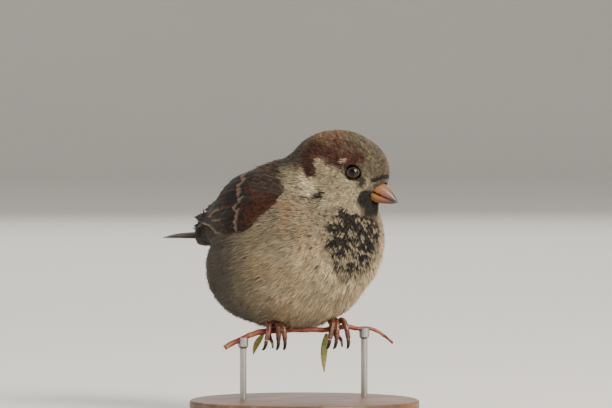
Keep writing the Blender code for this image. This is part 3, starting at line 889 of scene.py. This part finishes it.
def lay_vanes(name, vanes, flip, random):
    """Joined flat feathers, each a cambered leaf of nine stations by five points."""
    along, across = np.meshgrid(np.linspace(0, 1, 9), np.linspace(-1, 1, 5), indexing="ij")
    outline_width = np.minimum(1, (along / 0.16 + 0.25) ** 0.6)
    tip = np.sqrt(np.clip(1 - np.clip((along - 0.74) / 0.26, 0, 1) ** 2.2, 0.004, 1))
    outline_width = outline_width * tip
    sheets = []
    tints = []
    grains = []
    cells = []
    columns = math.ceil(math.sqrt(len(vanes)))
    for index, (kind, path, normals, width) in enumerate(vanes):
        share = np.linspace(0, 1, len(path))
        line = np.stack([np.interp(along[:, 0], share, column) for column in path.T], axis=-1)
        out = unit(np.stack([np.interp(along[:, 0], share, c) for c in normals.T], axis=-1))
        heading = unit(np.gradient(line, axis=0))
        sideways = unit(np.cross(heading, out))
        offset = across * outline_width * width / 2
        camber = VANE_CAMBER * width * (1 - across ** 2) + 0.1 * MM * random.normal()
        place = line[:, None] + sideways[:, None] * offset[..., None]
        place = place + out[:, None] * camber[..., None]
        sheets.append(place)
        tints.append(vane_tint(kind, along, across * flip, random))
        length = np.linalg.norm(path[-1] - path[0])
        grains.append(along * length / MM - np.abs(across) * width / MM * 0.8)
        cell = (index % columns, index // columns)
        flat = np.stack((across * 0.45 + 0.5, along * 0.9 + 0.05), axis=-1)
        cells.append((flat + cell) / columns)
    return vane_mesh(name, np.array(sheets), np.array(tints), np.array(grains), np.array(cells))


def vane_mesh(name, sheets, tints, grains, cells):
    """One mesh from many equal sheets of points."""
    count, tall, wide = sheets.shape[:3]
    row, column = np.meshgrid(np.arange(tall - 1), np.arange(wide - 1), indexing="ij")
    first = (row * wide + column).ravel()
    quad = np.stack((first, first + 1, first + wide + 1, first + wide), axis=1)
    corners = (np.arange(count)[:, None, None] * tall * wide + quad).reshape(-1)
    mesh = mesh_from(name, sheets, corners, 4)
    paint_points(mesh, "tint", tints.reshape(-1, 3))
    grain = mesh.attributes.new("grain", "FLOAT", "POINT")
    grain.data.foreach_set("value", grains.ravel().astype(np.float32))
    bake_map(mesh, cells.reshape(-1, 2)[corners])
    return linked(mesh)


def vane_finish(name):
    """Flight feather: the tint crossed by the fine lines of the barbs."""
    finish = Finish(name, Roughness=0.62, Specular_IOR_Level=0.16)
    where = finish.coords()
    grain = finish.attribute("grain", "Fac") * 15.0
    lines = finish.node("Math", "Value", {"operation": "SINE"}, {0: grain})
    broken = finish.noise(where, 1100.0, 2.0)
    tone = 0.8 + lines * 0.12 + broken * 0.3
    tint = finish.tone(finish.attribute("tint"), tone)
    finish.put("Base Color", tint)
    finish.bump(lines * 0.5 + broken, 0.4, 0.0001)
    return finish.material


def make_wing(side, name, node):
    """One folded wing of overlapping vanes."""
    random = np.random.default_rng(7)
    tree = node_tree(node)
    vanes = []
    for kind, start, end, width, height in wing_layout():
        share = np.linspace(0, 1, 6)
        jitter = random.normal(0, 0.012, 2)
        along = start[0] + (end[0] - start[0]) * share + jitter[0]
        down = start[1] + (end[1] - start[1]) * share + jitter[1]
        place, outward = on_wing(tree, np.clip(along, 0, 1), np.clip(down, 0.02, 0.98), side)
        thin = 1 - 0.85 * ease(0.3, 1, along)
        rise = ((height - 1.9) * thin + 0.35 * share)[:, None] * MM
        vanes.append((kind, place + outward * rise, outward, width * MM))
    piece = lay_vanes(name, vanes, -side, random)
    finish_piece(piece, vane_finish(name), "feathers_wing", node)


def make_tail():
    """Twelve tail feathers, the middle pair on top."""
    random = np.random.default_rng(11)
    vanes = []
    for step in range(6):
        for side in (-1, 1):
            share = np.linspace(0, 1, 6)
            out = 0.3 + (5 - step) * 0.82
            x = -34 - 41 * share + 0.35 * step * share
            y = side * (out * 0.55 + out * 0.75 * share)
            z = 66.3 - 3.2 * share - 0.05 * np.abs(y) - (5 - step) * (0.7 - 0.52 * share)
            path = np.stack((x, y, z), axis=1) * MM
            up = np.tile((0.06, 0.0, 1.0), (6, 1))
            vanes.append(("tail", path, up, 4.6 * MM))
    piece = lay_vanes("tail_feathers", vanes, 1, random)
    finish_piece(piece, vane_finish("tail_feathers"), "feathers_wing", "tail")


# ---- horn, eyes and feet

def smooth_copy(name, node_names, levels, kind="CATMULL_CLARK"):
    """A merged and rounded copy of solids, for finer shapes than they carry."""
    shell = bmesh.new()
    for node_name in node_names:
        shell.from_mesh(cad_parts[node_name].data)
    bmesh.ops.remove_doubles(shell, verts=shell.verts, dist=0.001 * MM)
    bmesh.ops.recalc_face_normals(shell, faces=shell.faces)
    piece = piece_of(name, shell)
    round_off = piece.modifiers.new("Round", "SUBSURF")
    round_off.subdivision_type = kind
    round_off.levels = levels
    round_off.render_levels = levels
    apply_modifiers(piece)
    return piece


def displace(piece, rule):
    """Moves each point out along its normal by rule, in metres."""
    mesh = piece.data
    points = mesh_points(mesh)
    normals = np.empty(len(mesh.vertices) * 3)
    mesh.vertex_normals.foreach_get("vector", normals)
    points += normals.reshape(-1, 3) * rule(points)[:, None]
    mesh.vertices.foreach_set("co", points.ravel())
    mesh.update()


def make_bill():
    """The two halves of the bill, in orange and grey horn, with painted shade on the upper side.
    """
    for name, node in (("bill_upper_horn", "bill_upper"), ("bill_lower_horn", "bill_lower")):
        piece = smooth_copy(name, (node,), 1)
        finish_piece(piece, bill_finish(name), "horn_bill", node)


def bill_finish(name):
    """Horn: orange at the base, greyer pink over the upper side for the ridge's grey horn and
    painted shade, dark at the tip.
    """
    finish = Finish(name, Roughness=0.36, Specular_IOR_Level=0.45, Subsurface_Weight=0.08,
                    Coat_Weight=0.12, Coat_Roughness=0.25)
    where = finish.coords()
    root = Vector(head_point(*BILL_ROOT))
    ahead = Vector(head_point(BILL_ROOT[0] + 9.6, 0, BILL_ROOT[2] - 4.5)) - root
    reach = finish.vector("SUBTRACT", "Vector", where, root)
    far = finish.vector("DOT_PRODUCT", "Value", reach, ahead / ahead.length_squared)
    uneven = finish.noise(where, 420.0, 3.0)
    stops = ((0.0, rgba((146, 102, 44))), (0.38, rgba((138, 94, 48))), (0.62, rgba((118, 82, 62))),
             (0.84, rgba((84, 62, 52))), (1.0, rgba((34, 27, 25))))
    colour = finish.ramp(far + (uneven - 0.5) * 0.2, stops)
    # Greyer pink towards the upper side: the ridge's grey horn plus painted shade on the upper
    # side.
    rise = (0.095 / MM, 0.045 / MM, 0.225 / MM)
    above = finish.vector("DOT_PRODUCT", "Value", reach, rise)
    ridge_grey_and_shade = finish.node("Clamp", "Result", {}, {"Value": above * 0.9 - 0.1})
    colour = finish.mix(ridge_grey_and_shade * 0.65, colour, rgba((116, 84, 68)))
    colour = finish.tone(colour, 0.8 + uneven * 0.4)
    finish.put("Base Color", colour)
    finish.bump(finish.noise(where, 1500.0, 3.0), 0.25, 0.0001)
    return finish.material


def make_eyes():
    """Dark glossy eyes inside bare lids."""
    for side, node in ((1, "eye_right"), (-1, "eye_left")):
        centre = Vector(head_point(EYE_PLACE[0], side * EYE_PLACE[1], EYE_PLACE[2]))
        ahead = head_point(EYE_PLACE[0] + 3.2, side * (EYE_PLACE[1] + 9), EYE_PLACE[2] + 0.6)
        gaze = (Vector(ahead) - centre).normalized()
        dress_node(node, eye_finish(node, centre, gaze))
        ring = bmesh.new()
        bmesh.ops.create_circle(ring, segments=10, radius=0.36 * MM)
        bmesh.ops.rotate(ring, verts=ring.verts, cent=(0, 0, 0),
                         matrix=Matrix.Rotation(math.pi / 2, 3, "X"))
        bmesh.ops.translate(ring, verts=ring.verts, vec=(2.05 * MM, 0, 0))
        bmesh.ops.spin(ring, geom=ring.verts[:] + ring.edges[:], cent=(0, 0, 0), axis=(0, 0, 1),
                       angle=math.tau, steps=36, use_merge=True)
        bmesh.ops.remove_doubles(ring, verts=ring.verts, dist=0.001 * MM)
        bmesh.ops.recalc_face_normals(ring, faces=ring.faces)
        turn = gaze.to_track_quat("Z", "Y").to_matrix()
        bmesh.ops.scale(ring, verts=ring.verts, vec=(1.0, 0.76, 1.0))
        bmesh.ops.transform(ring, verts=ring.verts,
                            matrix=Matrix.Translation(centre + gaze * 1.25 * MM) @ turn.to_4x4())
        lids = piece_of(node + "_lids", ring)
        finish = Finish(node + "_lid_skin", Roughness=0.6)
        where = finish.coords()
        skin = finish.mix(finish.noise(where, 1400.0, 3.0), rgba((26, 21, 18)), rgba((66, 55, 44)))
        finish.put("Base Color", skin)
        finish.bump(finish.noise(where, 2600.0, 2.0), 0.5, 0.0001)
        finish_piece(lids, finish.material, "feathers_head")


def eye_finish(name, centre, gaze):
    """A brown iris round a black pupil, under a wet coat."""
    finish = Finish(name + "_glass", Roughness=0.16, Specular_IOR_Level=0.16, Coat_Weight=0.16,
                    Coat_Roughness=0.02)
    away = finish.vector("SUBTRACT", "Vector", finish.coords(), centre)
    facing = finish.vector("DOT_PRODUCT", "Value", away, gaze / EYE_RADIUS)
    fleck = finish.noise(finish.coords(), 2500.0, 3.0)
    stops = ((0.0, rgba((24, 15, 10))), (0.60, rgba((52, 31, 19))), (0.80, rgba((44, 26, 16))),
             (0.86, rgba((6, 5, 5))), (1.0, rgba((5, 5, 5))))
    finish.put("Base Color", finish.ramp(facing + (fleck - 0.5) * 0.06, stops))
    return finish.material


def make_feet():
    """Scaled legs and toes, and horn claws."""
    def scutes(points):
        rings = (points[:, 2] / SCUTE_LENGTH + 0.25 * np.sin(points[:, 0] / (1.3 * MM))) % 1.0
        return SCUTE_HEIGHT * (np.sqrt(np.clip(1 - rings, 0, 1)) - 0.2)

    for name, node in (("leg_right_scales", "leg_right"), ("leg_left_scales", "leg_left")):
        piece = smooth_copy(name, (node,), 2, "SIMPLE")
        displace(piece, scutes)
        finish = Finish(name, Roughness=0.34, Specular_IOR_Level=0.5, Coat_Weight=0.15,
                        Coat_Roughness=0.3)
        where = finish.coords()
        mottle = finish.noise(where, 520.0, 3.0)
        colour = finish.ramp(mottle, ((0.25, rgba((62, 34, 24))), (0.55, rgba((104, 60, 40))),
                                      (0.8, rgba((142, 92, 64)))))
        rise = finish.node("SeparateXYZ", "Z", {}, {"Vector": where}) * (1 / SCUTE_LENGTH)
        ring = finish.node("Math", "Value", {"operation": "FRACT"}, {0: rise + mottle * 0.3})
        groove = finish.ramp(ring, ((0.0, (0.35, 0.3, 0.28, 1)), (0.18, (1, 1, 1, 1)),
                                    (0.9, (1, 1, 1, 1)), (1.0, (0.35, 0.3, 0.28, 1))))
        colour = finish.mix(1.0, colour, groove, "MULTIPLY")
        finish.put("Base Color", colour)
        finish.bump(finish.noise(where, 1800.0, 3.0), 0.3, 0.0001)
        finish_piece(piece, finish.material, "leg_scales", node)
    for node in sorted(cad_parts):
        if node.startswith("claw_"):
            claw = smooth_copy(node + "_horn", (node,), 1, "SIMPLE")
            displace(claw, lambda points: np.full(len(points), CLAW_GROWTH))
            finish = Finish(node + "_horn", Roughness=0.3, Specular_IOR_Level=0.5)
            tone = finish.noise(finish.coords(), 900.0, 2.0)
            finish.put("Base Color", finish.mix(tone, rgba((30, 24, 22)), rgba((70, 54, 46))))
            finish_piece(claw, finish.material, "claw_horn", node)


def dress_node(node, material):
    """A better material on a solid that keeps its shape."""
    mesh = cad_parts[node].data
    for index in range(max(1, len(mesh.materials))):
        if len(mesh.materials) <= index:
            mesh.materials.append(material)
        mesh.materials[index] = material


# ---- perch and stand

def make_perch():
    """The twig's bark and its two leaves."""
    def knots(points):
        return 0.16 * MM * wavy(points * (1, 1, 1.6), 2.6 * MM, 9)

    twig = smooth_copy("twig_bark", ("perch_twig",), 2, "SIMPLE")
    displace(twig, knots)
    finish = Finish("twig_bark", Roughness=0.5, Specular_IOR_Level=0.35)
    where = finish.coords()
    streak = finish.noise(where, 300.0, 4.0, 0.6)
    colour = finish.ramp(streak, ((0.3, rgba((84, 36, 30))), (0.5, rgba((132, 62, 48))),
                                  (0.68, rgba((158, 98, 70))), (0.8, rgba((112, 104, 58)))))
    finish.put("Base Color", colour)
    finish.bump(finish.noise(where, 1300.0, 4.0), 0.5, 0.0002)
    finish_piece(twig, finish.material, "bark", "perch_twig")
    for node in ("leaf_near_right_foot", "leaf_near_left_foot"):
        leaf = smooth_copy(node + "_blade", (node,), 1)
        finish = Finish(node + "_blade", Roughness=0.45, Specular_IOR_Level=0.4,
                        Subsurface_Weight=0.1)
        where = finish.coords()
        cells = finish.node("TexVoronoi", "Distance", {"feature": "DISTANCE_TO_EDGE"},
                            {"Vector": where, "Scale": 700.0})
        veins = finish.node("Clamp", "Result", {}, {"Value": cells * 6.0})
        broad = finish.noise(where, 160.0, 3.0)
        colour = finish.ramp(broad, ((0.3, rgba((88, 104, 44))), (0.55, rgba((122, 124, 58))),
                                     (0.78, rgba((158, 84, 56)))))
        colour = finish.mix(veins, rgba((142, 138, 78)), colour)
        finish.put("Base Color", colour)
        finish.bump(veins, 0.4, 0.0001)
        finish_piece(leaf, finish.material, "leaf", node)


def make_stand():
    """Turned wood under brushed steel rods."""
    wood = Finish("stand_wood", Roughness=0.5, Specular_IOR_Level=0.35, Coat_Weight=0.1)
    place = wood.node("Mapping", "Vector", {},
                      {"Vector": wood.coords(), "Scale": (60.0, 9.0, 60.0)})
    grain = wood.noise(place, 3.0, 5.0, 0.6)
    pores = wood.noise(place, 22.0, 2.0)
    colour = wood.ramp(grain, ((0.3, rgba((78, 56, 40))), (0.5, rgba((112, 82, 58))),
                               (0.7, rgba((138, 104, 74)))))
    colour = wood.tone(colour, 0.75 + pores * 0.5)
    wood.put("Base Color", colour)
    wood.bump(pores, 0.3, 0.0002)
    dress_node("stand_base", wood.material)
    for node in ("stand_rod_right", "stand_rod_left"):
        steel = Finish(node + "_steel", Metallic=1.0)
        place = steel.node("Mapping", "Vector", {},
                           {"Vector": steel.coords(), "Scale": (900.0, 900.0, 60.0)})
        brushed = steel.noise(place, 3.0, 3.0)
        steel.put("Base Color", steel.mix(brushed, rgba((150, 148, 144)), rgba((198, 196, 192))))
        steel.put("Roughness", steel.shade(brushed, 0.28, 0.42))
        dress_node(node, steel.material)


# ---- stage

def make_stage(settings):
    """A pale floor that turns up into a round wall, with soft lamps and the camera."""
    bowl = bmesh.new()
    turns = np.linspace(0, math.pi / 2, 20)
    profile = [(0, 0, -0.0005), (1.4, 0, -0.0005)]
    for turn in turns:
        profile.append((2.8 + 1.2 * math.sin(turn), 0, 1.2 - 1.2 * math.cos(turn) - 0.0005))
    profile += [(4.0, 0, 3.2)]
    verts = [bowl.verts.new(place) for place in profile]
    for start, end in zip(verts[:-1], verts[1:]):
        bowl.edges.new((start, end))
    bmesh.ops.spin(bowl, geom=bowl.verts[:] + bowl.edges[:], cent=(0, 0, 0), axis=(0, 0, 1),
                   angle=math.tau, steps=72, use_merge=True)
    bmesh.ops.remove_doubles(bowl, verts=bowl.verts, dist=0.0001)
    bmesh.ops.recalc_face_normals(bowl, faces=bowl.faces)
    floor = piece_of("studio_floor", bowl)
    finish = Finish("studio_paint", Roughness=0.9)
    tone = finish.shade(finish.noise(finish.coords(), 3.0, 2.0), 0.97, 1.03)
    finish.put("Base Color", finish.tone(rgba(settings.floor), tone))
    floor.data.materials.append(finish.material)
    floor.data.polygons.foreach_set("use_smooth", np.ones(len(floor.data.polygons), bool))
    make_lamp("key_lamp", (1.3, 0.12, 0.8), 0.8, settings.key, (1.0, 0.92, 0.82))
    make_lamp("fill_lamp", (-0.35, -1.5, 0.7), 1.4, settings.fill, (0.93, 0.96, 1.0))
    make_lamp("back_lamp", (-1.3, 0.9, 0.9), 1.4, settings.back, (0.96, 0.98, 1.0))
    make_lamp("top_lamp", (-0.3, 0.5, 1.8), 1.4, settings.top, (1.0, 0.98, 0.95))
    world = bpy.data.worlds.new("studio_air")
    world.use_nodes = True
    world.node_tree.nodes["Background"].inputs["Color"].default_value = (0.9, 0.93, 1.0, 1)
    world.node_tree.nodes["Background"].inputs["Strength"].default_value = settings.air
    bpy.context.scene.world = world
    make_camera(settings)


def make_lamp(name, place, size, power, colour):
    """A square soft lamp aimed at the bird."""
    light = bpy.data.lights.new(name, "AREA")
    light.size = size
    light.energy = power
    light.color = colour
    lamp = bpy.data.objects.new(name, light)
    aim = Vector(place) - Vector((0, 0, 0.07))
    turned = aim.to_track_quat("Z", "Y").to_matrix().to_4x4()
    lamp.matrix_world = Matrix.Translation(place) @ turned
    bpy.context.scene.collection.objects.link(lamp)


def make_camera(settings):
    """A long lens, level with the bird and to its right front."""
    lens = bpy.data.cameras.new("camera")
    lens.sensor_width = 36
    lens.lens = 36 * settings.distance / settings.width
    lens.clip_start = 0.1
    lens.clip_end = 20
    camera = bpy.data.objects.new("camera", lens)
    turn, rise = settings.turn, settings.rise
    level = math.cos(rise)
    back = Vector((math.sin(turn) * level, -math.cos(turn) * level, math.sin(rise)))
    target = Vector((0.35, 0.42, 76.4)) * MM
    camera.matrix_world = (Matrix.Translation(target + back * settings.distance)
                           @ back.to_track_quat("Z", "Y").to_matrix().to_4x4())
    bpy.context.scene.collection.objects.link(camera)
    bpy.context.scene.camera = camera


# ---- the add-on

class SparrowStageSettings(bpy.types.PropertyGroup):
    """The floor, the lamps and the camera."""

    floor: bpy.props.FloatVectorProperty(
        name="Floor", description="Floor paint, 0 to 255", default=(234, 230, 222), size=3)
    key: bpy.props.FloatProperty(
        name="Key lamp", description="Power of the key lamp", default=42.0, subtype="POWER")
    fill: bpy.props.FloatProperty(
        name="Fill lamp", description="Power of the fill lamp", default=5.0, subtype="POWER")
    top: bpy.props.FloatProperty(
        name="Top lamp", description="Power of the top lamp", default=16.0, subtype="POWER")
    back: bpy.props.FloatProperty(
        name="Back lamp", description="Power of the back lamp", default=9.0, subtype="POWER")
    air: bpy.props.FloatProperty(
        name="Air", description="Strength of the light from all round", default=0.35)
    turn: bpy.props.FloatProperty(
        name="Turn", description="Camera's turn round the bird", default=math.radians(50),
        subtype="ANGLE")
    rise: bpy.props.FloatProperty(
        name="Rise", description="Camera's rise over the floor", default=math.radians(2),
        subtype="ANGLE")
    distance: bpy.props.FloatProperty(
        name="Distance", description="Camera to bird", default=2.5, unit="LENGTH")
    width: bpy.props.FloatProperty(
        name="View width", description="Width of the view at the bird", default=0.2234,
        unit="LENGTH")


class SparrowCoatSettings(bpy.types.PropertyGroup):
    """The plumage."""

    spacing: bpy.props.FloatProperty(
        name="Spacing", description="Feather spacing, 1 as designed", default=1.0, min=0.5)


class SPARROW_OT_stage(bpy.types.Operator):
    """Builds the floor, the lamps and the camera"""

    bl_idname = "sparrow.stage"
    bl_label = "Stage"

    def execute(self, context):
        make_stage(context.scene.sparrow_stage)
        return {"FINISHED"}


class SPARROW_OT_plumage(bpy.types.Operator):
    """Grows the skin and the soft feathers"""

    bl_idname = "sparrow.plumage"
    bl_label = "Skin and coat"

    def execute(self, context):
        outline = Outline()
        skin = make_skin()
        finish_piece(skin, plume_finish("skin", 0.0), "feathers_belly", *FLESH)
        make_coats(outline, context.scene.sparrow_coat)
        make_wing(1, "wing_right_feathers", "wing_right")
        make_wing(-1, "wing_left_feathers", "wing_left")
        make_tail()
        bpy.data.objects.remove(outline.piece)
        return {"FINISHED"}


class SPARROW_OT_hard_parts(bpy.types.Operator):
    """Makes the bill, eyes, legs and claws"""

    bl_idname = "sparrow.hard_parts"
    bl_label = "Bill, eyes and feet"

    def execute(self, context):
        make_bill()
        make_eyes()
        make_feet()
        return {"FINISHED"}


class SPARROW_OT_perch(bpy.types.Operator):
    """Dresses the twig, its leaves and the stand"""

    bl_idname = "sparrow.perch"
    bl_label = "Perch and stand"

    def execute(self, context):
        make_perch()
        make_stand()
        return {"FINISHED"}


class SPARROW_PT_panel(bpy.types.Panel):
    """Lists the steps that dress the bird"""

    bl_idname = "SPARROW_PT_panel"
    bl_label = "House Sparrow"
    bl_space_type = "VIEW_3D"
    bl_region_type = "UI"
    bl_category = "Sparrow"

    def draw(self, context):
        for settings in (context.scene.sparrow_stage, context.scene.sparrow_coat):
            for key in settings.bl_rna.properties.keys():
                if key not in ("rna_type", "name"):
                    self.layout.prop(settings, key)
        for step in STEPS:
            self.layout.operator(step.bl_idname)


STEPS = (SPARROW_OT_stage, SPARROW_OT_plumage, SPARROW_OT_hard_parts, SPARROW_OT_perch)
GROUPS = (SparrowStageSettings, SparrowCoatSettings)


def register():
    for kind in GROUPS + STEPS + (SPARROW_PT_panel,):
        bpy.utils.register_class(kind)
    bpy.types.Scene.sparrow_stage = bpy.props.PointerProperty(type=SparrowStageSettings)
    bpy.types.Scene.sparrow_coat = bpy.props.PointerProperty(type=SparrowCoatSettings)


def unregister():
    del bpy.types.Scene.sparrow_coat
    del bpy.types.Scene.sparrow_stage
    for kind in reversed(GROUPS + STEPS + (SPARROW_PT_panel,)):
        bpy.utils.unregister_class(kind)


def main():
    """Dresses the bird."""
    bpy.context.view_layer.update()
    register()
    bpy.ops.sparrow.stage()
    bpy.ops.sparrow.plumage()
    bpy.ops.sparrow.hard_parts()
    bpy.ops.sparrow.perch()


if __name__ == "__main__":
    main()
